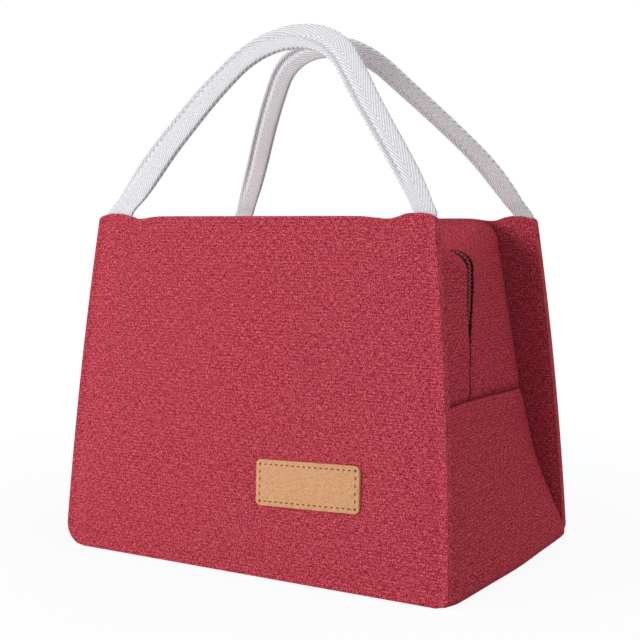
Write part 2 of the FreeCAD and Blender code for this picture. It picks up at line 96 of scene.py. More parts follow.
def on_board(x, inward, up, side):
    """A point of the front board or the back board, in metres."""
    y = -BOTTOM_DEPTH / 2 + inward * math.cos(LEAN) + up * math.sin(LEAN)
    z = up * math.cos(LEAN) - inward * math.sin(LEAN)
    return Vector((x * side, y * side, z)) * MM


print("board leans", round(math.degrees(LEAN), 2), "degrees and is", round(SLANT, 1), "mm long")

# %% [markdown]
# ## Camera
# The camera stands where the photograph was taken: to the right of the front, a little above the hem. Its
# place was solved from the bag's corners, so it is written as a yaw, a pitch and a small roll.

# %% Camera
YAW, PITCH, ROLL = math.radians(30.488), math.radians(4.349), math.radians(0.239)
CAMERA_PLACE = Vector((373.67, -634.37, 192.06)) * MM
SENSOR, LENS = 36.0, 67.62
look = Vector((-math.sin(YAW) * math.cos(PITCH), math.cos(YAW) * math.cos(PITCH), -math.sin(PITCH)))
across = look.cross(Vector((0, 0, 1))).normalized()
upward = across.cross(look)
right = across * math.cos(ROLL) + upward * math.sin(ROLL)
up = upward * math.cos(ROLL) - across * math.sin(ROLL)
camera = bpy.data.objects.new("camera", bpy.data.cameras.new("camera"))
camera.data.sensor_width = SENSOR
camera.data.lens = LENS
turned = Matrix((right, up, -look)).transposed().to_4x4()
camera.matrix_world = Matrix.Translation(CAMERA_PLACE) @ turned
bpy.context.scene.collection.objects.link(camera)
bpy.context.scene.camera = camera
print("camera at", [round(c, 3) for c in camera.matrix_world.translation])

# %% [markdown]
# ## Two small tools for materials
# A colour is written as the hex value that a paint program shows, and one function makes it linear. One
# function adds a node with its settings, and its inputs are either numbers or links from other nodes.

# %% Colours and nodes
def linear(hex_colour):
    """A colour written as sRGB hex, as the linear value that Blender works in."""
    parts = [int(hex_colour[i : i + 2], 16) / 255 for i in (1, 3, 5)]
    return [c / 12.92 if c <= 0.04045 else ((c + 0.055) / 1.055) ** 2.4 for c in parts] + [1.0]


def add(tree, kind, inputs, **settings):
    """Adds a node, sets what it is told and links or fills its inputs."""
    made = tree.nodes.new(kind)
    for name, value in settings.items():
        setattr(made, name, value)
    for name, value in inputs.items():
        if isinstance(value, bpy.types.NodeSocket):
            tree.links.new(value, made.inputs[name])
        else:
            made.inputs[name].default_value = value
    return made


def new_material(name):
    """An empty node material and its tree."""
    made = bpy.data.materials.new(name)
    made.use_nodes = True
    made.node_tree.nodes.clear()
    return made, made.node_tree


def finish_material(tree, shader):
    add(tree, "ShaderNodeOutputMaterial", {"Surface": shader.outputs[0]})


print("material tools ready")

# %% [markdown]
# ## Linen-look cloth
# The bag's cloth is a plain weave of polyester yarn dyed in the fibre, which is sold as linen-look canvas.
# Thick and thin places in the yarn, called slubs, show as short light and dark dashes that run with the
# weave in both directions. Two stretched noises draw the dashes, one for each direction, and a checker of
# the thread spacing says which yarn lies on top. The weft also shows as faint level lines, and a finer speck
# breaks the dashes up. The real yarn is about 0.7 mm wide. Its spacing is drawn at 0.95 mm, so that it shows
# in the render.

# %% Linen-look cloth
THREAD, YARN, SLUB, SPECK = 0.95 * MM, 0.55 * MM, 2.8 * MM, 0.5 * MM
SPECK_SHARE = 0.45
WEFT, WEAVE = 0.012, 0.3
TONES = (0.4, 0.6)
CLOTH_BUMP, CLOTH_SPECULAR = 0.25 * MM, 0.08


def linen(name, shade, middle, light):
    """Cloth in three tones of one colour, drawn on the piece's flat cut."""
    made, tree = new_material(name)
    cut = add(tree, "ShaderNodeUVMap", {}, uv_map="cut").outputs[0]
    yarns = []
    for scale in ((1 / YARN, 1 / SLUB, 1), (1 / SLUB, 1 / YARN, 1)):
        run = add(tree, "ShaderNodeMapping", {"Vector": cut, "Scale": scale}).outputs[0]
        slub = {"Vector": run, "Scale": 1.0, "Detail": 2.0, "Roughness": 0.65}
        yarns.append(add(tree, "ShaderNodeTexNoise", slub).outputs[0])
    spacing = {"Vector": cut, "Scale": (0.5 / THREAD, 1 / THREAD, 1)}
    threads = add(tree, "ShaderNodeMapping", spacing).outputs[0]
    over = add(tree, "ShaderNodeTexChecker", {"Vector": threads, "Scale": 1.0}).outputs[1]
    yarn = add(tree, "ShaderNodeMix", {0: over, 2: yarns[0], 3: yarns[1]}).outputs[0]
    speck = add(tree, "ShaderNodeTexNoise", {"Vector": cut, "Scale": 1 / SPECK, "Detail": 1.0}).outputs[0]
    broken = add(tree, "ShaderNodeMix", {0: SPECK_SHARE, 2: yarn, 3: speck}).outputs[0]
    split = add(tree, "ShaderNodeSeparateXYZ", {0: cut})
    waves = []
    for axis in (0, 1):
        per_thread = {0: split.outputs[axis], 1: math.pi / THREAD}
        turns = add(tree, "ShaderNodeMath", per_thread, operation="MULTIPLY")
        waves.append(add(tree, "ShaderNodeMath", {0: turns.outputs[0]}, operation="SINE").outputs[0])
    level_lines = {0: waves[1], 1: WEFT, 2: broken}
    lined = add(tree, "ShaderNodeMath", level_lines, operation="MULTIPLY_ADD").outputs[0]
    tone = add(tree, "ShaderNodeMapRange", {0: lined, 1: TONES[0], 2: TONES[1]}).outputs[0]
    deep = add(tree, "ShaderNodeMapRange", {0: tone, 1: 0.0, 2: 0.5}).outputs[0]
    pale = add(tree, "ShaderNodeMapRange", {0: tone, 1: 0.5, 2: 1.0}).outputs[0]
    dark_half = {0: deep, 6: linear(shade), 7: linear(middle)}
    low = add(tree, "ShaderNodeMix", dark_half, data_type="RGBA").outputs[2]
    colour = add(tree, "ShaderNodeMix", {0: pale, 6: low, 7: linear(light)}, data_type="RGBA").outputs[2]
    weave = add(tree, "ShaderNodeMath", {0: waves[0], 1: waves[1]}, operation="MULTIPLY").outputs[0]
    height = add(tree, "ShaderNodeMath", {0: weave, 1: WEAVE, 2: tone}, operation="MULTIPLY_ADD").outputs[0]
    relief = {"Height": height, "Strength": 0.45, "Distance": CLOTH_BUMP}
    normal = add(tree, "ShaderNodeBump", relief).outputs[0]
    rough = add(tree, "ShaderNodeMapRange", {0: tone, 3: 0.95, 4: 0.8}).outputs[0]
    face = {"Base Color": colour, "Roughness": rough, "Normal": normal, "Specular IOR Level": CLOTH_SPECULAR}
    finish_material(tree, add(tree, "ShaderNodeBsdfPrincipled", face))
    return made


red_linen = linen("red_linen_canvas", "#680b1c", "#a02a3b", "#d96773")
# The band round the sides, top and bottom is the same canvas as the boards; its darker, deeper tones are
# painted shade.
band_linen_painted_shade = linen("red_linen_band_painted_shade", "#5c0816", "#981e2f", "#d7606d")
print("made", red_linen.name, "with yarn drawn at", THREAD / MM, "mm")

# %% [markdown]
# ## Herringbone webbing
# The handles are woven cotton-look tape in a herringbone twill: fine diagonal ribs that turn back along the
# middle of the tape. The rib is a sine of the length plus the distance from the nearest turning line, and
# the turning line comes from folding the width with a ping-pong function. The ribs run steeply along the
# tape. Measured straight across, real ones are about a millimetre apart, and they are drawn at 1.4 mm so
# that they show.

# %% Herringbone webbing
RIB, RIB_SLOPE = 3.9 * MM, 2.6
CHEVRON = 7.8 * MM
WEAR_SCALE, WEAR_SHARE = 420.0, 0.4


def herringbone(name, shade, light):
    """Twill tape in two tones, drawn on the flat tape: its width first, then its length."""
    made, tree = new_material(name)
    cut = add(tree, "ShaderNodeUVMap", {}, uv_map="cut").outputs[0]
    split = add(tree, "ShaderNodeSeparateXYZ", {0: cut})
    fold = add(tree, "ShaderNodeMath", {0: split.outputs[0], 1: CHEVRON}, operation="PINGPONG").outputs[0]
    steep = {0: fold, 1: RIB_SLOPE, 2: split.outputs[1]}
    slant = add(tree, "ShaderNodeMath", steep, operation="MULTIPLY_ADD").outputs[0]
    turns = add(tree, "ShaderNodeMath", {0: slant, 1: 2 * math.pi / RIB}, operation="MULTIPLY").outputs[0]
    wave = add(tree, "ShaderNodeMath", {0: turns}, operation="SINE").outputs[0]
    rib = add(tree, "ShaderNodeMapRange", {0: wave, 1: -1.0, 2: 1.0}).outputs[0]
    wear = add(tree, "ShaderNodeTexNoise", {"Vector": cut, "Scale": WEAR_SCALE, "Detail": 3.0}).outputs[0]
    tone = add(tree, "ShaderNodeMath", {0: wear, 1: WEAR_SHARE, 2: rib}, operation="MULTIPLY_ADD").outputs[0]
    sharp = add(tree, "ShaderNodeMapRange", {0: tone, 1: 0.1, 2: 1.0}).outputs[0]
    tones = {0: sharp, 6: linear(shade), 7: linear(light)}
    colour = add(tree, "ShaderNodeMix", tones, data_type="RGBA").outputs[2]
    relief = {"Height": rib, "Strength": 0.35, "Distance": CLOTH_BUMP}
    normal = add(tree, "ShaderNodeBump", relief).outputs[0]
    rough = add(tree, "ShaderNodeMapRange", {0: rib, 3: 0.95, 4: 0.85}).outputs[0]
    face = {"Base Color": colour, "Roughness": rough, "Normal": normal}
    face.update({"Specular IOR Level": 0.25, "Sheen Weight": 0.1})
    finish_material(tree, add(tree, "ShaderNodeBsdfPrincipled", face))
    return made


grey_webbing = herringbone("grey_herringbone_webbing", "#abacb2", "#d9d9dc")
print("made", grey_webbing.name, "with ribs", round(RIB / MM / math.hypot(1, RIB_SLOPE), 2), "mm apart")

# %% [markdown]
# ## Foil lining, zip tape, coil, metal, leather and thread
# The lining is a thin plastic film with an aluminium layer, which gives a soft mirror with small crinkles.
# The tape is a maroon polyester twill, dull and finely ribbed. The coil is nylon, a little glossy. The
# slider is die-cast zinc with a dark nickel plate and fine brush lines across it. The patch is tan leather,
# with a pebble grain and darker pores. The thread is spun and dull. Where a cut edge of the red cloth turns
# round the board, its pattern would smear, so the edge has a speckled finish of the same colours.

# %% Smaller materials
def plain_finish(name, dark, light, grain, depth, stretch=(1, 1, 1), rough=(0.4, 0.6), spread=0.2, **look_of):
    """A finish whose colour, gloss and bump all follow one noise of a real grain size in millimetres."""
    made, tree = new_material(name)
    place = add(tree, "ShaderNodeTexCoord", {}).outputs["Object"]
    scaled = add(tree, "ShaderNodeMapping", {"Vector": place, "Scale": [s / (grain * MM) for s in stretch]})
    grains = {"Vector": scaled.outputs[0], "Scale": 1.0, "Detail": 4.0}
    speck = add(tree, "ShaderNodeTexNoise", grains).outputs[0]
    tone = add(tree, "ShaderNodeMapRange", {0: speck, 1: 0.5 - spread, 2: 0.5 + spread}).outputs[0]
    tones = {0: tone, 6: linear(dark), 7: linear(light)}
    colour = add(tree, "ShaderNodeMix", tones, data_type="RGBA").outputs[2]
    gloss = add(tree, "ShaderNodeMapRange", {0: tone, 3: rough[0], 4: rough[1]}).outputs[0]
    relief = {"Height": speck, "Strength": 0.6, "Distance": depth * MM}
    normal = add(tree, "ShaderNodeBump", relief).outputs[0]
    face = {"Base Color": colour, "Roughness": gloss, "Normal": normal}
    face.update({key.replace("_", " "): value for key, value in look_of.items()})
    finish_material(tree, add(tree, "ShaderNodeBsdfPrincipled", face))
    return made


foil = plain_finish("aluminised_film", "#b9bcc2", "#dfe1e5", 6.0, 0.9, rough=(0.28, 0.42), Metallic=0.85)
zip_cloth = plain_finish("maroon_zip_twill", "#4c0d18", "#701b29", 0.8, 0.15, (1, 3, 1), (0.75, 0.9))
coil_nylon = plain_finish(
    "maroon_nylon_coil", "#6e1522", "#a43c48", 1.2, 0.05, rough=(0.5, 0.62), Specular_IOR_Level=0.2
)
dark_nickel = plain_finish(
    "dark_nickel_plate", "#6d6e72", "#9a9ba0", 0.6, 0.02, (1, 1, 6), (0.22, 0.36), Metallic=1.0
)
leather = plain_finish("tan_leather", "#a67042", "#ca9562", 1.1, 0.16, rough=(0.48, 0.62))
brown_thread = plain_finish("brown_thread", "#3c2415", "#5d3b22", 0.4, 0.1, rough=(0.7, 0.85))
grey_thread = plain_finish("grey_thread", "#9a9ba1", "#bfc0c5", 0.4, 0.1, rough=(0.7, 0.85))
edge_look = {"rough": (0.85, 0.95), "spread": 0.09, "Specular_IOR_Level": CLOTH_SPECULAR}
red_edge = plain_finish("red_linen_turned_edge", "#6a0f1d", "#c44e5b", 0.9, 0.3, **edge_look)
print("made", len(bpy.data.materials), "materials in the file")

# %% [markdown]
# ## A cloth helper
# Every sheet here starts as Blender's own flat grid, as a cutter lays out cloth. A formula then moves each
# grid point to its place on the bag, and the same formula gives the point's place on the flat cut, which is
# kept as the UV map in metres. The weave is drawn on the cut, so it runs with the cloth round every corner.

# %% Cloth helper
def as_piece(bm, name):
    """Turns a finished bmesh into an object of the scene."""
    mesh = bpy.data.meshes.new(name)
    bm.to_mesh(mesh)
    bm.free()
    made = bpy.data.objects.new(name, mesh)
    bpy.context.scene.collection.objects.link(made)
    return made


def cloth(name, columns, rows, surface, closed=False):
    """A sheet from a grid: surface(s, t) gives the point in metres and its place on the flat cut."""
    bm = bmesh.new()
    bmesh.ops.create_grid(bm, x_segments=columns, y_segments=rows, size=0.5)
    cut = bm.loops.layers.uv.new("cut")
    flat = {}
    for vert in bm.verts:
        vert.co, flat[vert] = surface(vert.co.x + 0.5, vert.co.y + 0.5)
    for face in bm.faces:
        face.smooth = True
        for loop in face.loops:
            loop[cut].uv = flat[loop.vert]
    if closed:
        bmesh.ops.remove_doubles(bm, verts=bm.verts, dist=0.00001)
        bmesh.ops.holes_fill(bm, edges=[edge for edge in bm.edges if edge.is_boundary])
    return as_piece(bm, name)


print("cloth helper ready")

# %% [markdown]
# ## Thickness and finish
# Real cloth and foam have a thickness and a soft rim. Solidify and Bevel give both and stay live, so the
# sheet under them stays simple.

# %% Thickness and finish
RIM_STEPS, RIM_ANGLE = 4, math.radians(50)


def thicken(piece, thickness, edge=0.0):
    """Gives a sheet its thickness on the side away from its normal, and a soft rim of this width."""
    wall = piece.modifiers.new("thickness", "SOLIDIFY")
    wall.thickness = thickness * MM
    wall.offset = -1.0
    wall.material_offset_rim = 1
    if edge:
        rim = piece.modifiers.new("soft_rim", "BEVEL")
        rim.width = edge * MM
        rim.segments = RIM_STEPS
        rim.limit_method = "ANGLE"
        rim.angle_limit = RIM_ANGLE
    return piece


def paint(piece, finish, rim=None):
    """Gives a piece its finish, and its rim a finish of its own where the cut's pattern would smear."""
    piece.data.materials.append(finish)
    piece.data.materials.append(rim or finish)
    return piece


print("a soft rim has", RIM_STEPS, "steps")

# %% [markdown]
# ## Outline of a board
# The front and back are foam boards covered in cloth. Their sides lean in and bow out a little, and their
# corners are round: wide at the bottom left, tighter at the bottom right and tight at the top. The hem at
# the top is not level: it stands up at the outer side of each handle and dips beside it, because the handle
# pulls on it there. Short formulas give the outline, so every piece on the board can ask where the edge is.

# %% Outline of a board
LEFT_CORNER, RIGHT_CORNER, TOP_CORNER = 14.0, 7.0, 2.5
RIGHT_PULL = {1: (3.0, -2.2), -1: (2.6, 0.0)}
HEM_LEVEL = -1.1
HEM_DIP, HEM_RISE, HEM_FALL = (1.5, 82.0, 9.0), (1.6, 86.0, 10.0), (1.5, 103.0, 9.0)


def past(value, start, run):
    """How far a value is past a start, as a soft step over a run."""
    return ease((value - start) / run)


def board_half(v, on_right, side):
    """Half the board's width at a height on the board. The soft right edges are pulled a little askew."""
    rise = v / SLANT
    half = mix(BOTTOM_WIDTH, TOP_WIDTH, rise) / 2 + SIDE_BULGE * 4 * rise * (1 - rise)
    half += mix(*RIGHT_PULL[side], rise) if on_right else 0.0
    bottom = RIGHT_CORNER if on_right else LEFT_CORNER
    for corner, edge in ((bottom, v - BOARD_LIFT), (TOP_CORNER, SLANT - v)):
        if edge < corner:
            half -= corner - math.sqrt(max(corner**2 - (corner - edge) ** 2, 0.0))
    return half


def from_edge(x, v, side):
    """How far a place on the board is from the board's nearest edge."""
    return min(board_half(v, x * side > 0, side) - abs(x), v - BOARD_LIFT, SLANT - v)


def hem(x):
    """How far the top hem stands above or below the straight line."""
    away = abs(x)
    dip = HEM_DIP[0] * bump(away, *HEM_DIP[1:])
    rise, fall = (size * past(away, start, run) for size, start, run in (HEM_RISE, HEM_FALL))
    return HEM_LEVEL - dip + rise - fall


half_way = [board_half(SLANT / 2, on_right, 1) for on_right in (False, True)]
print("front board is", round(sum(half_way), 1), "mm wide half-way up")

# %% [markdown]
# ## Padded surface
# The cloth is sewn round the edge of the board. It is drawn in along the stitch line, swells a little inside
# it and lies in low waves, as stretched cloth does over foam. Under the leather patch it is flat. A formula
# gives this first shape, because it has to agree with the outline and with the patch.

# %% Padded surface
STITCH_INSET, STITCH_PULL, STITCH_WIDTH = 4.5, 0.55, 1.7
CROWN, CROWN_RUN = 0.3, 45.0
WAVE, WAVE_X, WAVE_Z = 0.4, 33.0, 29.0
RIPPLE, RIPPLE_X, RIPPLE_Z = 0.22, 15.0, 21.0
WAVE_RUN, WAVE_START = 25.0, (1.1, 0.6)
PATCH_X, PATCH_Z = 43.5, 53.5
PATCH_FLAT, PATCH_REACH = 0.4, (40.0, 20.0)


def pillow(x, v, side):
    """How far the cloth lies inside the flat board: drawn in at the stitches and swollen inside them."""
    edge = from_edge(x, v, side)
    drawn_in = STITCH_PULL * bump(edge, STITCH_INSET, STITCH_WIDTH)
    crown = -CROWN * ease(edge / CROWN_RUN)
    roll = WAVE * math.sin(x / WAVE_X + WAVE_START[0] + side) * math.sin(v / WAVE_Z + WAVE_START[1])
    roll += RIPPLE * math.sin(x / RIPPLE_X - v / RIPPLE_Z + side)
    flat = bump(x, PATCH_X, PATCH_REACH[0]) * bump(v, PATCH_Z, PATCH_REACH[1]) if side > 0 else 0.0
    return drawn_in + mix(crown + roll * ease(edge / WAVE_RUN), -PATCH_FLAT, flat)


print("cloth is drawn in by up to", STITCH_PULL, "mm along the stitches")

# %% [markdown]
# ## Swelling
# Foam presses on its cover from inside, and the cover gives most where no seam holds it. Blender's Cloth
# works this out better than a formula: for a few frames it presses the cloth outwards, while the sewn rim
# and the place under the patch are held. A cap keeps every point close to where it started.

# %% Swelling
CUT_MIDDLE = 0.5
PATCH_HELD = (34.0, 15.0)
HELD_RIM = STITCH_INSET + 1.5
FOAM_PRESSURE, SWELL_STEPS, SWELL_CAP = 4.0, 12, 1.2


def is_sewn(flat, side):
    """Whether a point of the cut is held: within the stitches round the board, or under the patch."""
    x, v = (flat[0] - CUT_MIDDLE) / MM, flat[1] / MM
    under = side > 0 and abs(x - PATCH_X) < PATCH_HELD[0] and abs(v - PATCH_Z) < PATCH_HELD[1]
    return from_edge(x, v, side) < HELD_RIM or under


def swell(piece, side):
    """Presses the cloth outwards with Blender's Cloth, and keeps the result in the mesh."""
    mesh = piece.data
    flat = {loop.vertex_index: mesh.uv_layers["cut"].data[loop.index].uv for loop in mesh.loops}
    held = piece.vertex_groups.new(name="sewn")
    held.add([i for i in flat if is_sewn(flat[i], side)], 1.0, "REPLACE")
    foam = piece.modifiers.new("foam", "CLOTH")
    foam.settings.vertex_group_mass = held.name
    foam.settings.effector_weights.gravity = 0.0
    foam.settings.use_pressure = True
    foam.settings.uniform_pressure_force = FOAM_PRESSURE
    for step in range(1, SWELL_STEPS + 1):
        bpy.context.scene.frame_set(step)
    pressed = piece.evaluated_get(bpy.context.evaluated_depsgraph_get()).data
    moves = [after.co - before.co for before, after in zip(mesh.vertices, pressed.vertices)]
    for vert, move in zip(mesh.vertices, moves):
        vert.co += move * min(1.0, SWELL_CAP * MM / max(move.length, 1e-9))
    piece.modifiers.remove(foam)
    piece.vertex_groups.clear()
    bpy.context.scene.frame_set(1)
    most = max(move.length for move in moves) / MM
    print(piece.name, "swells by up to", round(most, 2), "mm before the cap")
    return piece


print("foam presses for", SWELL_STEPS, "frames")

# %% [markdown]
# ## Padded boards
# Now the boards are made. The rows of the grid crowd together near the edges, where the cloth bends most.
# The grid is laid out by the formulas, pressed by the foam, and given the board's thickness and a soft rim.

# %% Padded boards
BOARD_GRID, BOARD_CROWD, BOARD_RIM = (76, 64), (0.7, 0.75), 2.2
HEM_FROM, HEM_RUN = 0.55, 0.45


def crowd(share, amount):
    """Moves even steps closer together at both ends."""
    return mix(share, (1 - math.cos(math.pi * share)) / 2, amount)


def board(name, side):
    def surface(s, t):
        v = mix(BOARD_LIFT, SLANT, crowd(t, BOARD_CROWD[1]))
        x = 2 * crowd(s, BOARD_CROWD[0]) - 1
        x *= board_half(v, x * side > 0, side)
        lifted = v + hem(x) * past(v / SLANT, HEM_FROM, HEM_RUN)
        return on_board(x, pillow(x, v, side), lifted, side), (x * MM + CUT_MIDDLE, v * MM)

    piece = swell(cloth(name, *BOARD_GRID, surface), side)
    thicken(piece, BOARD, edge=BOARD_RIM)
    paint(piece, red_linen, red_edge)
    return piece


boards = [(board(end + "_board", side), end) for side, end in SIDES]
for piece, end in boards:
    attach(piece, end + "_shell")
    covered = ("panel_fabric", "panel_foam", "wing_facing", "handle_tails")
    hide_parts(*[f"{end}_{part}" for part in covered])
    print(piece.name, len(piece.data.vertices), "points")

# %% [markdown]
# ## Lines of the band
# The band between the boards is drawn by a few lines that run round it, each in its own plane. At the board
# it is sewn into a crease, then it swells over a shoulder to a ridge, and sinks to the pinched middle where
# the zip is. Each line follows a leg, turns a corner and runs along the top or the bottom. The crease lies
# inside the board, so no gap shows at the seam.

# %% Lines of the band
RIDGE_X = half_width(SEAM_HEIGHT) - 16.5
PINCH_X = half_width(SEAM_HEIGHT) - 21.0
SEWN_IN = 3.3
SHOULDER_RUN, RIDGE_RUN = 5.5, 10.5
CREASE_IN, SHOULDER_IN = 6.0, 1.4


def line_of(y, slope, end_x, end_z, corner_x, corner_z, radius):
    """A line by its plane, the end of its leg, its corner and the corner's radius."""
    return dict(
        y=y, slope=slope, end_x=end_x, end_z=end_z, corner_x=corner_x, corner_z=corner_z, radius=radius
    )


def between(first, second, share):
    return {key: mix(first[key], second[key], share) for key in first}


def board_plane(run):
    """Where the plane of a line lies in depth, this far from the crease."""
    return -BOTTOM_DEPTH / 2 + (BOARD - SEWN_IN + run) / math.cos(LEAN)


def follow(line, s, depth, leg, bend):
    """A point of a line, s from -1 at the right end to 1 at the left end, in millimetres."""
    upward = math.copysign(1.0, line["corner_z"] - line["end_z"])
    slope = (line["corner_x"] - line["end_x"]) / (line["corner_z"] - line["end_z"])
    shift = depth * math.hypot(1.0, slope)
    corner_z = line["corner_z"] - upward * depth
    corner_x = line["end_x"] + slope * (corner_z - line["end_z"]) - shift
    radius = max(line["radius"] - depth, 1.0)
    turn = math.acos(-upward * slope / math.hypot(1.0, slope))
    centre_x = corner_x - radius * math.tan(turn / 2)
    centre_z = corner_z - upward * radius
    reach = 1 - abs(s)
    angle = turn * (1 - min(max((reach - leg) / (bend - leg), 0.0), 1.0))
    x = centre_x + radius * math.sin(angle)
    z = centre_z + upward * radius * math.cos(angle)
    if reach < leg:
        x = mix(line["end_x"] - shift, x, reach / leg)
        z = mix(line["end_z"], z, reach / leg)
    if reach > bend:
        x = mix(x, 0.0, (reach - bend) / (1 - bend))
    return Vector((-math.copysign(x, s), line["y"] + line["slope"] * z, z))


print("ridge at", round(RIDGE_X, 1), "mm and pinch at", round(PINCH_X, 1), "mm at the seam")

# %% [markdown]
# ## Cloth across the lines
# A smooth curve through the lines gives the cloth between them, as a sail follows its ribs. When the bag
# opens, the band has to stay with the base at the pinch and go along with its board further out. That blend
# between the two bodies is not made here; each piece is only baked in place.

# %% Cloth across the lines
def through(knots, points, t):
    """A smooth curve through points, at t between the knots."""
    last = len(knots) - 1
    i = max(k for k in range(last) if knots[k] <= t or k == 0)

    def pull(k):
        before, after = max(k - 1, 0), min(k + 1, last)
        return (points[after] - points[before]) / (knots[after] - knots[before])

    gap = knots[i + 1] - knots[i]
    u = (t - knots[i]) / gap
    start, end = points[i], points[i + 1]
    return (
        start * (2 * u**3 - 3 * u**2 + 1)
        + pull(i) * (gap * (u**3 - 2 * u**2 + u))
        + end * (3 * u**2 - 2 * u**3)
        + pull(i + 1) * (gap * (u**3 - u**2))
    )


def turned_to(point, side):
    """A point of the front half in millimetres, turned to its side and in metres."""
    return Vector((point.x * side, point.y * side, point.z)) * MM


def lean_with(piece, end, side, far_y, far_z):
    """Bakes the piece's place into its mesh; it does not lean with its board. The end, side and place given
    are not used.
    """
    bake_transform(piece)


print("the band bends from", SEAM_HEIGHT, "mm up")

# %% [markdown]
# ## Lower gusset
# One long strip of cloth makes both lower sides and the bottom. Its top edge is hemmed and laps over the
# foot of the upper band. It is made in a front and a back half that meet in the middle with no slope, so
# each half could lean with its own board when the bag opens, though neither is made to lean here. At the
# floor its corners are about as round as the boards' corners: wide at the left and tight at the right. A
# turn gives the corner's radius, and the shares of the strip where it starts and ends.

# %% Lines of the gusset
LEFT_TURN, RIGHT_TURN = (12.5, 0.41, 0.54), (3.8, 0.43, 0.51)
TROUGH_KNOTS = [0.0, 0.035, 0.095, 0.54, 1.0, 1.46]
TROUGH_TOP = SEAM_HEIGHT + 0.8
RIDGE_OUT, MIDDLE_OUT = 4.4, 7.0
LOW_CREASE_IN, LOW_SHOULDER_IN = 2.5, 0.7


def trough_lines(radius):
    """The gusset's lines for a corner of this radius, from the board's crease to just past the middle."""

    def side_line(high, low, run):
        corner_x = half_width(0) + RIDGE_OUT - low
        return line_of(board_plane(run), SLOPE, RIDGE_X - high, TROUGH_TOP, corner_x, BOARD_LIFT, radius)

    crease = side_line(CREASE_IN, LOW_CREASE_IN, 0.0)
    shoulder = side_line(SHOULDER_IN, LOW_SHOULDER_IN, SHOULDER_RUN)
    ridge = side_line(0.0, 0.0, RIDGE_RUN)
    centre = line_of(0.0, 0.0, PINCH_X, TROUGH_TOP, half_width(0) + MIDDLE_OUT, BOARD_LIFT, radius)
    waist = between(ridge, centre, 0.5)
    mirrored = dict(waist, y=-waist["y"], slope=-waist["slope"])
    return [crease, shoulder, ridge, waist, centre, mirrored]


print("gusset corners", LEFT_TURN[0], "mm at the left and", RIGHT_TURN[0], "mm at the right")

# %% [markdown]
# ## Gusset cloth and its lining
# The cloth bulges over the foot of the upper band at its hem and sinks in a little below it. The foil lining
# follows the same lines, one foam thickness further in, so the two can't cross.

# %% Lower gusset
HEM_PROUD, HEM_WALL, HEM_RIM = 2.6, 1.4, 0.5
LAP_FROM, LAP_RUN, LAP_EDGE = 74.0, 14.0, 0.25
SINK, SINK_HEIGHT, SINK_PLACE = 2.4, (52.0, 24.0), (0.05, 0.2)
LOW_PULL, LOW_REACH, LOW_PAST = 2.0, 40.0, 60.0
GUSSET_WIDTH, GUSSET_HALF, GUSSET_FOAM, FILM = 85.0, 220.0, 5.4, 0.4
GUSSET_GRID, LINING_GRID = (120, 26), (96, 16)
GUSSET_LEAN = (57.5, 119.8)


def trough_surface(side, depth):
    lines = {turn: trough_lines(turn[0]) for turn in (LEFT_TURN, RIGHT_TURN)}

    def surface(s, t):
        along = 2 * s - 1
        turn = LEFT_TURN if along * side > 0 else RIGHT_TURN
        points = [follow(line, along, depth, *turn[1:]) for line in lines[turn]]
        point = through(TROUGH_KNOTS, points, t)
        outward = math.copysign(1.0, point.x)
        lap = HEM_PROUD * past(point.z, LAP_FROM, LAP_RUN) * ease(t / LAP_EDGE)
        sink = SINK * bump(point.z, *SINK_HEIGHT) * bump(t, *SINK_PLACE)
        pull = LOW_PULL * ease((LOW_REACH - point.z) / LOW_REACH) if point.x * side > LOW_PAST else 0.0
        point.x += outward * (lap - sink + pull)
        return turned_to(point, side), (t * GUSSET_WIDTH * MM, along * GUSSET_HALF * MM + CUT_MIDDLE)

    return surface


for side, end in SIDES:
    skin = cloth(end + "_lower_gusset", *GUSSET_GRID, trough_surface(side, 0.0))
    thicken(skin, HEM_WALL, edge=HEM_RIM)
    inner = thicken(cloth(end + "_lower_lining", *LINING_GRID, trough_surface(side, GUSSET_FOAM)), FILM)
    # The gusset's darker tones are painted shade on the same canvas as the boards.
    paint(skin, band_linen_painted_shade, red_edge)
    paint(inner, foil)
    if side > 0:
        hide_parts("gusset_fabric", "gusset_foam")
        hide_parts("gusset_lining")
    for piece in (skin, inner):
        lean_with(piece, end, side, *GUSSET_LEAN)
    print(skin.name, len(skin.data.vertices), "points")

# %% [markdown]
# ## Lips along the zip
# The free edge of the upper band is folded under along the zip and makes a lip on each side of it. In the
# photograph the two lips stand open at the right corner and close over the zip lower down on that side. The
# back lip is pulled aside there, and the front one hangs lower, so that the zip shows between them. Each of
# these is a small distance that grows softly, so the lips stay one smooth edge.

# %% Lips along the zip
FOOT = SEAM_HEIGHT - 4.0
ZIP_CORNER = 10.0
ZIP_TOP_X = half_width(ZIP_HEIGHT) - 16.0
LIP_OPEN, LIP_SHUT = 3.5, 1.1
SHUT_BELOW, SHUT_RUN = 148.0, 26.0
LIP_ASIDE, ASIDE_X, ASIDE_Z = 3.2, (60.0, 20.0), (128.0, 30.0)
LIP_SAG, SAG_X, SAG_Z = 1.6, (25.0, 25.0), (160.0, 12.0)
ZIP_FOLLOWS = 1.1


def zip_line(y):
    return line_of(y, 0.0, PINCH_X, FOOT, ZIP_TOP_X, ZIP_HEIGHT, ZIP_CORNER)


def aside(point):
    """How far the back lip is pulled back at the right corner, where the zip gapes."""
    return LIP_ASIDE * past(point.z, *ASIDE_Z) * past(point.x, *ASIDE_X)


def lip_gap(point, side):
    """How far the folded lip lies from the middle of the zip, and how far it closes over the zip."""
    if point.x < 0:
        return LIP_OPEN, 0.0
    shut = ease((SHUT_BELOW - point.z) / SHUT_RUN)
    return mix(LIP_OPEN, LIP_SHUT, shut) + (aside(point) if side < 0 else 0.0), shut


def drift(point, side):
    """The zip follows that pull and lies against the back lip, in the local depth of a half."""
    return side * ZIP_FOLLOWS * aside(Vector((point.x * side, 0, point.z)))


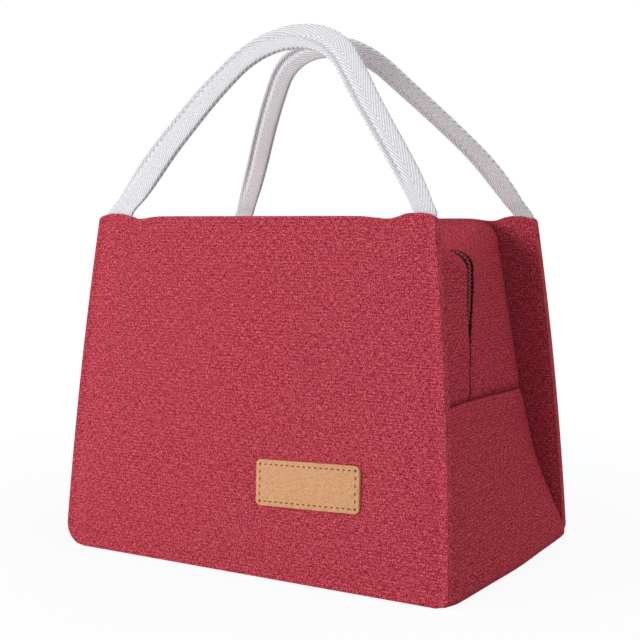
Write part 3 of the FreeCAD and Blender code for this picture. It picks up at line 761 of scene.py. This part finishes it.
def sag(point, side):
    """How far the front lip hangs below the back one at the right corner, so that the zip shows over it."""
    return LIP_SAG * past(point.x, *SAG_X) * past(point.z, *SAG_Z) if side > 0 else 0.0


print("lips stand", 2 * LIP_OPEN, "mm apart and close to", 2 * LIP_SHUT, "mm")

# %% [markdown]
# ## Upper band
# The upper half of the band rises from the gusset's hem, goes over the top under the handles and comes down
# on the other side. Its foot is tucked in behind the hem. Inside, its foil lining ends just short of the
# zip. Both are drawn by lines with the same ridge and pinch as the gusset's, so the two halves of the band
# agree at the seam.

# %% Upper band
BAND_LEG, BAND_BEND = 0.42, 0.57
BAND_KNOTS = [0.0, 0.045, 0.13, 0.56, 1.0]
BAND_CORNER = 14.0
RIDGE_TOP = {1: half_width(HEIGHT) - 31.0, -1: half_width(HEIGHT) - 24.5}
RIDGE_HEIGHT = HEIGHT - 3.0
FOOT_TUCK, FOOT_RUN = 2.0, 5.0
LIP_OVER = 0.9
TOP_RUN = 172.0
BAND_GRID, BAND_WIDTH, BAND_WALL = (132, 24), 75.0, 1.1
MOUTH_WIDTH, MOUTH_FOAM, MOUTH_EDGE, MOUTH_RISE, MOUTH_UNDER = 70.0, 5.2, -5.0, 0.9, 1.8
BAND_LEAN = (43.6, 126.9)


def band_lines(edge_y, side):
    """The band's lines, from the board's crease to the edge along the zip."""

    def along_board(inset, run):
        corner_x, corner_z = RIDGE_TOP[side] - inset, RIDGE_HEIGHT - inset
        radius = BAND_CORNER - inset / 2
        return line_of(board_plane(run), SLOPE, RIDGE_X - inset, FOOT, corner_x, corner_z, radius)

    crease, shoulder = along_board(CREASE_IN, 0.0), along_board(SHOULDER_IN, SHOULDER_RUN)
    ridge, edge = along_board(0.0, RIDGE_RUN), zip_line(edge_y)
    return [crease, shoulder, ridge, between(ridge, edge, 0.5), edge]


def band_surface(side, depth, edge_y=None, rise=0.0):
    """The cloth with its folded lip, or a lining with a set edge that rises towards the zip."""
    fixed = band_lines(-LIP_OPEN if edge_y is None else edge_y, side)
    leg_tops = [follow(line, 1 - BAND_LEG, depth, BAND_LEG, BAND_BEND) for line in fixed]

    def surface(s, t):
        along = 2 * s - 1
        points = [follow(line, along, depth, BAND_LEG, BAND_BEND) for line in fixed]
        if edge_y is None:
            seen = Vector((points[-1].x * side, 0, points[-1].z))
            gap, shut = lip_gap(seen, side)
            points[-1].y = -gap
            points[-1].x += math.copysign(LIP_OVER * shut, points[-1].x)
            points[-1].z -= sag(seen, side)
        if rise:
            under_zip = follow(fixed[-1], along, MOUTH_UNDER, BAND_LEG, BAND_BEND)
            points[-1] = points[-1].lerp(under_zip, rise)
        point = through(BAND_KNOTS, points, t)
        up_leg = point.z if 1 - abs(along) < BAND_LEG else through(BAND_KNOTS, leg_tops, t).z
        run = up_leg + TOP_RUN * max(1 - abs(along) - BAND_LEG, 0.0)
        tuck = FOOT_TUCK * ease((SEAM_HEIGHT + FOOT_RUN - point.z) / FOOT_RUN)
        point.x -= math.copysign(tuck, point.x)
        return turned_to(point, side), (t * BAND_WIDTH * MM, math.copysign(run * MM, along) + CUT_MIDDLE)

    return surface


for side, end in SIDES:
    skin = thicken(cloth(end + "_zip_band", *BAND_GRID, band_surface(side, 0.0)), BAND_WALL)
    lining = band_surface(side, MOUTH_FOAM, MOUTH_EDGE, MOUTH_RISE)
    inner = thicken(cloth(end + "_mouth_lining", *LINING_GRID, lining), FILM)
    # The band's darker tones are painted shade on the same canvas as the boards.
    paint(skin, band_linen_painted_shade, red_edge)
    paint(inner, foil)
    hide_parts(end + "_zip_band_fabric", end + "_zip_band_foam")
    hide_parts(end + "_zip_band_lining")
    for piece in (skin, inner):
        lean_with(piece, end, side, *BAND_LEAN)
    print(skin.name, len(skin.data.vertices), "points")

# %% [markdown]
# ## Zip tape
# Under the lips runs the zip. A strip of woven tape on each side starts below the lip and ends at the
# middle, where it carries the coil. It takes its place from the band's own lines, a little deeper, so it
# stays under the lip all the way round.

# %% Zip tape
TAPE_DEPTH = 1.4
TAPE_FROM, TAPE_EDGE = 0.88, -0.9
TAPE_CUT = (190.0, 12.0)


def tape_surface(side):
    outer, inner = band_lines(-LIP_OPEN, side), zip_line(TAPE_EDGE)

    def surface(s, t):
        along = 2 * s - 1
        points = [follow(line, along, TAPE_DEPTH, BAND_LEG, BAND_BEND) for line in outer]
        far = through(BAND_KNOTS, points, TAPE_FROM)
        near = follow(inner, along, TAPE_DEPTH, BAND_LEG, BAND_BEND)
        near.y += drift(near, side)
        for point in (far, near):
            point.z -= sag(Vector((point.x * side, 0, point.z)), side)
        place_on_cut = (along * TAPE_CUT[0] * MM + CUT_MIDDLE, t * TAPE_CUT[1] * MM)
        return turned_to(far.lerp(near, t), side), place_on_cut

    return surface


print("tape lies", TAPE_DEPTH, "mm under the lips")

# %% [markdown]
# ## Zip coil
# A nylon coil runs along the edge of each tape, and the loops of the two coils sit between each other. Each
# loop is one small squashed sphere, because there are nearly three hundred of them and each shows as little
# more than a dot.

# %% Zip coil
TAPE_GRID, TAPE_WALL, TAPE_WIDTH = (132, 4), 0.6, 11.0
LOOP_PITCH, LOOP_SIZE, LOOP_FACES = 2.4, (0.75, 1.75, 0.85), (8, 5)
LOOP_OUT, LOOP_ASIDE = 0.75, 0.95
PATH_STEPS = 600
COIL_END = SEAM_HEIGHT + 1.5


def bead(bm, centre, axes, size, faces):
    """Adds a squashed sphere by its centre in metres, its three axes and its half sizes in millimetres."""
    basis = Matrix(axes).transposed().to_4x4()
    place = Matrix.Translation(centre) @ basis @ Matrix.Diagonal([c * MM for c in size] + [1])
    bmesh.ops.create_uvsphere(bm, u_segments=faces[0], v_segments=faces[1], radius=1.0, matrix=place)


def coil(name, side):
    """A row of loops along the zip's line, half a pitch apart from the other row."""
    line = zip_line(0.0)
    shares = [2 * i / PATH_STEPS - 1 for i in range(PATH_STEPS + 1)]
    path = [follow(line, share, TAPE_DEPTH, BAND_LEG, BAND_BEND) for share in shares]
    bm = bmesh.new()
    travelled = 0.0
    next_loop = LOOP_PITCH * (1.0 if side > 0 else 1.5)
    count = 0
    for a, b in zip(path, path[1:]):
        step = (b - a).length
        while next_loop < travelled + step:
            spot = a.lerp(b, (next_loop - travelled) / step)
            if spot.z > COIL_END:
                along = (b - a).normalized()
                outward = Vector((along.z, 0, -along.x))
                in_depth = ZIP_FOLLOWS * aside(spot) - LOOP_ASIDE * side
                centre = spot + outward * LOOP_OUT + Vector((0, in_depth, 0))
                bead(bm, centre * MM, (along, Vector((0, 1, 0)), outward), LOOP_SIZE, LOOP_FACES)
                count += 1
            next_loop += LOOP_PITCH
        travelled += step
    bmesh.ops.recalc_face_normals(bm, faces=bm.faces)
    for face in bm.faces:
        face.smooth = True
    print(name, count, "loops")
    return as_piece(bm, name)


for side, end in SIDES:
    tape = thicken(cloth(end + "_tape", *TAPE_GRID, tape_surface(side)), TAPE_WALL)
    paint(tape, zip_cloth)
    loops = paint(coil(end + "_coil", side), coil_nylon)
    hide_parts(end + "_zip_tape")
    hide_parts(end + "_zip_teeth")
    for piece in (tape, loops):
        lean_with(piece, end, side, *BAND_LEAN)

# %% [markdown]
# ## Board linings
# Inside, each board is faced with the same foil film, cut to the shape of the band's mouth. The film is
# lightly quilted, so it does not mirror like a flat plate.

# %% Board linings
LINING_FOOT, LINING_TOP = 7.0, SLANT - 12.0
LINING_HALF, LINING_INSET, LINING_CORNER = 120.5, 6.8, 12.0
LINING_OFF, QUILT, QUILT_WAVE = 0.5, 0.25, 9.0
FACING_GRID, FACING_CROWD, FACING_WIDTH = (40, 36), 0.4, 210.0


def lining_half(v, side):
    """Half the lining's width at a height on the board: just inside the seam that sews the band on."""
    if v < SEAM_HEIGHT:
        half = mix(LINING_HALF, RIDGE_X - LINING_INSET, v / SEAM_HEIGHT)
    else:
        half = mix(RIDGE_X, RIDGE_TOP[side], (v - SEAM_HEIGHT) / (HEIGHT - SEAM_HEIGHT)) - LINING_INSET
    below = LINING_CORNER - min(LINING_TOP - v, LINING_CORNER)
    return half - LINING_CORNER + math.sqrt(LINING_CORNER**2 - below**2)


def board_lining(name, side):
    def surface(s, t):
        v = mix(LINING_FOOT, LINING_TOP, crowd(t, FACING_CROWD))
        x = (2 * s - 1) * lining_half(v, side)
        quilt = QUILT * math.sin(x / QUILT_WAVE) * math.sin(v / QUILT_WAVE)
        return on_board(-x, BOARD + LINING_OFF + quilt, v, side), (x * MM + CUT_MIDDLE, v * MM)

    return thicken(cloth(name, *FACING_GRID, surface), FILM)


for side, end in SIDES:
    inner = paint(board_lining(end + "_board_lining", side), foil)
    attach(inner, end + "_shell")
    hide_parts(end + "_panel_lining")

# %% [markdown]
# ## Line of a handle
# A handle stands up as an arch: a round apex and two long legs that bow a little, with a tail at each end
# that goes down into the hem. Three arcs that meet with no kink give this line from a few sizes: the span,
# the rise, and the apex's radius and turn.

# %% Line of a handle
HANDLE_SPAN, HANDLE_RISE = 200.0, 117.0
APEX_RADIUS, APEX_TURN = 49.0, math.radians(53.0)
TAIL = 14.0
SLANTED = (TAIL + 7.0, 30.0)


def arch():
    """Sizes of the handle's line: a round apex and two long, slightly bowed legs."""
    join_x = APEX_RADIUS * math.sin(APEX_TURN)
    join_z = HANDLE_RISE - APEX_RADIUS * (1 - math.cos(APEX_TURN))
    lean_join = math.pi / 2 - APEX_TURN
    lean_foot = 2 * math.atan2(HANDLE_SPAN / 2 - join_x, join_z) - lean_join
    radius = join_z / (math.sin(lean_join) - math.sin(lean_foot))
    centre = (join_x - radius * math.cos(lean_join), join_z - radius * math.sin(lean_join))
    return radius, centre, lean_foot, lean_join


LEG_RADIUS, LEG_CENTRE, LEAN_FOOT, LEAN_JOIN = arch()
LEG_LENGTH = LEG_RADIUS * (LEAN_JOIN - LEAN_FOOT)
HALF_LENGTH = TAIL + LEG_LENGTH + APEX_RADIUS * APEX_TURN


def arch_point(distance):
    """A place on the arch by its distance from the right end, and the direction across the tape there."""
    if distance < TAIL + LEG_LENGTH:
        turn = LEAN_FOOT + max(distance - TAIL, 0.0) / LEG_RADIUS
        x = LEG_CENTRE[0] + LEG_RADIUS * math.cos(turn)
        rise = LEG_CENTRE[1] + LEG_RADIUS * math.sin(turn) + min(distance - TAIL, 0.0)
        turn *= past(distance, *SLANTED)
        return (x, rise), (math.cos(turn), math.sin(turn))
    turn = LEAN_JOIN + (distance - TAIL - LEG_LENGTH) / APEX_RADIUS
    out = (math.cos(turn), math.sin(turn))
    return (APEX_RADIUS * out[0], HANDLE_RISE - APEX_RADIUS + APEX_RADIUS * out[1]), out


print("tape is", round(2 * HALF_LENGTH), "mm long")

# %% [markdown]
# ## Shape of the webbing
# Each handle is one length of tape. Its ends go flat into the hem, and between them it is folded on itself
# and sewn, which leaves a round bead along the outer edge and a groove beside it. Soft webbing also sways to
# one side and comes up from inside the board. Every point is worked out from its distance along the tape and
# its share round the section, so the tape and its stitches can use one function.

# %% Shape of the webbing
HANDLE_LEAN = math.radians(27.0)
HINGE_OUT, HINGE_UP = 2.5, 0.5
LEANING = (-4.0, 16.0)
SETTLE, SETTLE_RUN = 5.2, 46.0
TAIL_TUCK, TAIL_RUN = 0.4, 5.0
TAPE_HALF = {1: (6.6, 9.8), -1: (7.4, 6.3)}
FLAT_THICK, FOLDED_THICK, FOLDED = 1.1, 1.9, (TAIL + 6.0, 34.0)
SQUARENESS = 5
GROOVE, GROOVE_WIDTH, GROOVE_INSET = 0.75, 1.2, 3.2
LANE_CHANGE = 90.0
SWAY_FEET = {1: ((4.4, 0, 80), (0.7, 30, 60)), -1: ((3.6, 8, 110), (-5.0, 8, 110))}
SWAY_TOP = {1: -4.2, -1: 9.5}


def handle_place(x, rise, off, side):
    """A point of the handle's leaning plane, in metres. Near the hem the tape comes from inside the board."""
    settle = SETTLE * (1 - ease(rise / SETTLE_RUN)) + off
    tilt = mix(LEAN, HANDLE_LEAN, past(rise, *LEANING))
    hinge_y = -BOTTOM_DEPTH / 2 - HINGE_OUT * math.cos(LEAN) + (SLANT + HINGE_UP) * math.sin(LEAN)
    hinge_z = (SLANT + HINGE_UP) * math.cos(LEAN) + HINGE_OUT * math.sin(LEAN)
    y = hinge_y + rise * math.sin(tilt) + settle * math.cos(tilt)
    z = hinge_z + rise * math.cos(tilt) - settle * math.sin(tilt)
    return Vector((x * side, y * side, z)) * MM


def lane_of(run, side):
    """Where the sewn groove lies across the tape: it changes edge over the apex, from -1 to 1."""
    return side * mix(-1.0, 1.0, past(run, HALF_LENGTH - LANE_CHANGE / 2, LANE_CHANGE))


def tape_half(run, side):
    """Half the tape's width: it is folded a little tighter at one end than at the other."""
    return mix(*TAPE_HALF[side], run / (2 * HALF_LENGTH))


def sway(rise, mirrored, side):
    """How far the soft handle leans to one side at a height, from the foot of a leg to the apex."""
    foot, start, reach = SWAY_FEET[side][mirrored]
    return mix(foot, SWAY_TOP[side], past(rise, start, reach))


def handle_section(share, fold, lane, half):
    """Across and off distances round the tape's section: flat, or folded with a bead and a groove."""
    turn = 2 * math.pi * share
    across_tape = -half * math.cos(turn)
    height = (1 - abs(math.cos(turn)) ** SQUARENESS) ** (1 / SQUARENESS)
    off = mix(FLAT_THICK, FOLDED_THICK, fold) * height
    off *= 1 - fold * GROOVE * bump(across_tape, lane * (half - GROOVE_INSET), GROOVE_WIDTH)
    return across_tape, math.copysign(off, math.sin(turn))


def handle_point(run, share, side, lift=0.0):
    """A point of the strap by its distance along and its share round, and its place on the cut."""
    mirrored = run > HALF_LENGTH
    distance = 2 * HALF_LENGTH - run if mirrored else run
    (x, rise), out = arch_point(distance)
    half = tape_half(run, side)
    across_tape, off = handle_section(share, past(distance, *FOLDED), lane_of(run, side), half)
    off += math.copysign(lift, off)
    x -= TAIL_TUCK * (across_tape + half) * ease(-rise / TAIL_RUN)
    x += across_tape * out[0]
    rise += across_tape * out[1]
    x = (-x if mirrored else x) + sway(rise, mirrored, side)
    return handle_place(x, rise, off, side), ((across_tape + half) * MM, run * MM)


print("tape is", [round(sum(TAPE_HALF[side]), 1) for side, end in SIDES], "mm wide on average")

# %% [markdown]
# ## Webbing handles
# The grid is rolled into a flat tube: s runs round the section and t runs along the arch. When a handle
# swings down, it turns by more than half a turn. A long bend would then turn the short way, through the
# board, so the place for a fold is found between two rows of its mesh, just above the hem; the strap is not
# folded there. The stitches are small beads that lie in the groove on both faces.

# %% Webbing handles
STRAP_ROUND, STRAP_ROWS = 48, 160
FOLD_UP, FOLD_SHARE = 4.0, 0.1
STITCH_STEP, STITCH_SIZE, STITCH_FACES = 4.4, (1.0, 0.32, 0.22), (6, 4)
STITCH_FROM, STITCH_LIFT, STITCH_AHEAD = TAIL + 30.0, 0.15, 0.5


def handle(name, side):
    def surface(s, t):
        return handle_point(2 * HALF_LENGTH * t, s, side)

    return paint(cloth(name, STRAP_ROUND, STRAP_ROWS, surface, closed=True), grey_webbing)


def fold_line(side):
    """Two points close together, between two rows of the strap's mesh, just above the hem, where the strap
    would fold.
    """
    step = 2 * HALF_LENGTH / STRAP_ROWS
    row = math.ceil((TAIL + FOLD_UP) / step) - 0.5
    rise = arch_point(row * step)[0][1]
    middle = handle_place(0, rise, 0, side)
    off = handle_place(0, rise, 1, side) - middle
    upward = Vector((side, 0, 0)).cross(off).normalized() * (FOLD_SHARE * step * MM)
    return middle - upward, middle + upward


def strap_thread(name, side):
    """The row of stitches that lies in the groove, on both faces of the tape."""
    bm = bmesh.new()
    count = int(2 * (HALF_LENGTH - STITCH_FROM) / STITCH_STEP)
    for i in range(count):
        run = STITCH_FROM + i * STITCH_STEP
        lane = lane_of(run, side) * (1 - GROOVE_INSET / tape_half(run, side))
        share = math.acos(-lane) / (2 * math.pi)
        for face in (share, 1 - share):
            spot = handle_point(run, face, side, STITCH_LIFT)[0]
            ahead = handle_point(run + STITCH_AHEAD, face, side, STITCH_LIFT)[0]
            along = (ahead - spot).normalized()
            sideways = along.cross(Vector((0, 1, 0))).normalized()
            bead(bm, spot, (along, sideways, along.cross(sideways)), STITCH_SIZE, STITCH_FACES)
    bmesh.ops.recalc_face_normals(bm, faces=bm.faces)
    print(name, 2 * count, "stitches")
    return paint(as_piece(bm, name), grey_thread)


for side, end in SIDES:
    strap = handle(end + "_strap", side)
    stitches = strap_thread(end + "_strap_thread", side)
    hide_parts(end + "_handle")
    foot, free = fold_line(side)
    for piece in (strap, stitches):
        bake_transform(piece)
    print(strap.name, len(strap.data.vertices), "points")

# %% [markdown]
# ## Leather patch
# A patch of tan leather is sewn on the front, low and to the right. It is left bare. A box is cut to size,
# its corners are rounded, and its edges are eased as a leather worker would.

# %% Leather patch
PATCH_SIZE = (65.0, 1.7, 25.5)
PATCH_CORNER, PATCH_RIM, PATCH_LIFT = 3.0, 0.5, 0.2
PATCH_TILT = math.radians(2.2)


def patch_place(x, off, z):
    """A point of the patch's own flat frame, tilted and set on the front board."""
    turned_x = x * math.cos(PATCH_TILT) - z * math.sin(PATCH_TILT)
    turned_z = x * math.sin(PATCH_TILT) + z * math.cos(PATCH_TILT)
    return on_board(PATCH_X + turned_x, off, PATCH_Z / math.cos(LEAN) + turned_z, 1)


bm = bmesh.new()
bmesh.ops.create_cube(bm, size=1.0, matrix=Matrix.Diagonal(list(PATCH_SIZE) + [1]))
upright = [e for e in bm.edges if abs((e.verts[0].co - e.verts[1].co).y) > 1]
bmesh.ops.bevel(bm, geom=upright, offset=PATCH_CORNER, affect="EDGES", segments=6, profile=0.5, material=-1)
front_rim = [e for e in bm.edges if all(v.co.y < -0.5 for v in e.verts)]
bmesh.ops.bevel(bm, geom=front_rim, offset=PATCH_RIM, affect="EDGES", segments=3, profile=0.5, material=-1)
for vert in bm.verts:
    vert.co = patch_place(vert.co.x, vert.co.y - PATCH_SIZE[1] / 2 - PATCH_LIFT, vert.co.z)
for face in bm.faces:
    face.smooth = False
patch = paint(as_piece(bm, "bare_patch"), leather)
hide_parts("leather_patch")
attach(patch, "front_shell")
print(patch.name, PATCH_SIZE[0], "by", PATCH_SIZE[2], "mm")

# %% [markdown]
# ## Thread of the patch
# A brown thread holds the patch and shows as a row of dashes near its edge. Each dash is a squashed sphere
# that is half sunk in the leather, which reads as a stitch at this size.

# %% Thread of the patch
DASH_SIZE, DASH_STEP, DASH_INSET, DASH_LIFT = (1.05, 0.3, 0.42), 3.5, 2.6, 0.15
half_x, half_z = PATCH_SIZE[0] / 2 - DASH_INSET, PATCH_SIZE[2] / 2 - DASH_INSET
dash_off = -PATCH_SIZE[1] - DASH_LIFT
bm = bmesh.new()
for fixed, reach, is_level in ((half_z, half_x, True), (half_x, half_z, False)):
    count = int(2 * reach / DASH_STEP)
    wide, thick, high = DASH_SIZE if is_level else DASH_SIZE[::-1]
    for sign in (-1, 1):
        for i in range(count + 1):
            run = mix(-reach, reach, i / count)
            x, z = (run, sign * fixed) if is_level else (sign * fixed, run)
            dash = bmesh.ops.create_uvsphere(bm, u_segments=6, v_segments=4, radius=1.0)["verts"]
            for vert in dash:
                dx, dy, dz = vert.co.x * wide, vert.co.y * thick, vert.co.z * high
                vert.co = patch_place(x + dx, dash_off + dy, z + dz)
bmesh.ops.recalc_face_normals(bm, faces=bm.faces)
dashes = paint(as_piece(bm, "patch_thread"), brown_thread)
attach(dashes, "front_shell")
print("patch with", len(dashes.data.polygons) // 24, "dashes of thread")

# %% [markdown]
# ## Slider and pull
# These are hard parts with the right shape already, so the CAD nodes stay and take the plated finish.

# %% Slider and pull
for name in ("zip_slider", "zip_pull"):
    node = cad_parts[name]
    node.data.materials.clear()
    node.data.materials.append(dark_nickel)
    print("plated", name)

# %% [markdown]
# ## White surroundings
# The photograph is a plain catalogue picture on white. The world gives an even light, and seen directly or
# in a gloss it is plain white. A pale floor catches a soft shadow and fades to the same white away from the
# bag, so no horizon shows.

# %% White surroundings
WORLD_LIGHT = 0.3
FLOOR_HALF, FLOOR_FADE, FLOOR_WHITE = 6.0, (0.15, 0.5), 0.9
scene = bpy.context.scene
scene.view_settings.view_transform = "Standard"
world = bpy.data.worlds.new("studio")
scene.world = world
world.use_nodes = True
tree = world.node_tree
tree.nodes.clear()
ray = add(tree, "ShaderNodeLightPath", {})
either = {0: ray.outputs["Is Camera Ray"], 1: ray.outputs["Is Glossy Ray"]}
seen = add(tree, "ShaderNodeMath", either, operation="MAXIMUM")
level = add(tree, "ShaderNodeMapRange", {0: seen.outputs[0], 3: WORLD_LIGHT, 4: 1.0})
backdrop = add(tree, "ShaderNodeBackground", {"Color": (1, 1, 1, 1), "Strength": level.outputs[0]})
add(tree, "ShaderNodeOutputWorld", {"Surface": backdrop.outputs[0]})

bm = bmesh.new()
bmesh.ops.create_grid(bm, x_segments=1, y_segments=1, size=FLOOR_HALF)
floor = as_piece(bm, "floor")
floor_paint, tree = new_material("white_floor")
ray = add(tree, "ShaderNodeLightPath", {})
diffuse = add(tree, "ShaderNodeBsdfDiffuse", {"Color": linear("#f2f2f2")})
white = add(tree, "ShaderNodeEmission", {"Color": (1, 1, 1, 1), "Strength": 1.0})
place = add(tree, "ShaderNodeTexCoord", {}).outputs["Object"]
away = add(tree, "ShaderNodeVectorMath", {0: place}, operation="LENGTH").outputs["Value"]
fade = {0: away, 1: FLOOR_FADE[0], 2: FLOOR_FADE[1], 3: FLOOR_WHITE, 4: 1.0}
whiten = add(tree, "ShaderNodeMapRange", fade).outputs[0]
share = add(tree, "ShaderNodeMath", {0: ray.outputs["Is Camera Ray"], 1: whiten}, operation="MULTIPLY")
floor_look = {0: share.outputs[0], 1: diffuse.outputs[0], 2: white.outputs[0]}
finish_material(tree, add(tree, "ShaderNodeMixShader", floor_look))
floor.data.materials.append(floor_paint)
print("floor", 2 * FLOOR_HALF, "m wide")

# %% [markdown]
# ## Lamps
# One large lamp in front and to the left is the key, so that the right side is darker. A weak one from the
# right and one from above lift the shadows and the top. Large square lamps give soft edges, as a light tent
# does.

# %% Lamps
LAMP_SIZE = 1.0
LAMPS = {
    "key": ((-1.3, -1.5, 0.6), (0, 0, 0.13), 38),
    "fill": ((1.5, 0.05, 1.1), (0, 0, 0.12), 6),
    "top": ((0.5, 0.0, 1.7), (0, 0, 0.15), 9),
}
for name, (place, aim, power) in LAMPS.items():
    lamp = bpy.data.objects.new(name, bpy.data.lights.new(name, "AREA"))
    lamp.data.size = LAMP_SIZE
    lamp.data.energy = power
    lamp.location = place
    lamp.rotation_euler = (Vector(aim) - Vector(place)).to_track_quat("-Z", "Y").to_euler()
    scene.collection.objects.link(lamp)
    print(name, "lamp of", power, "W")
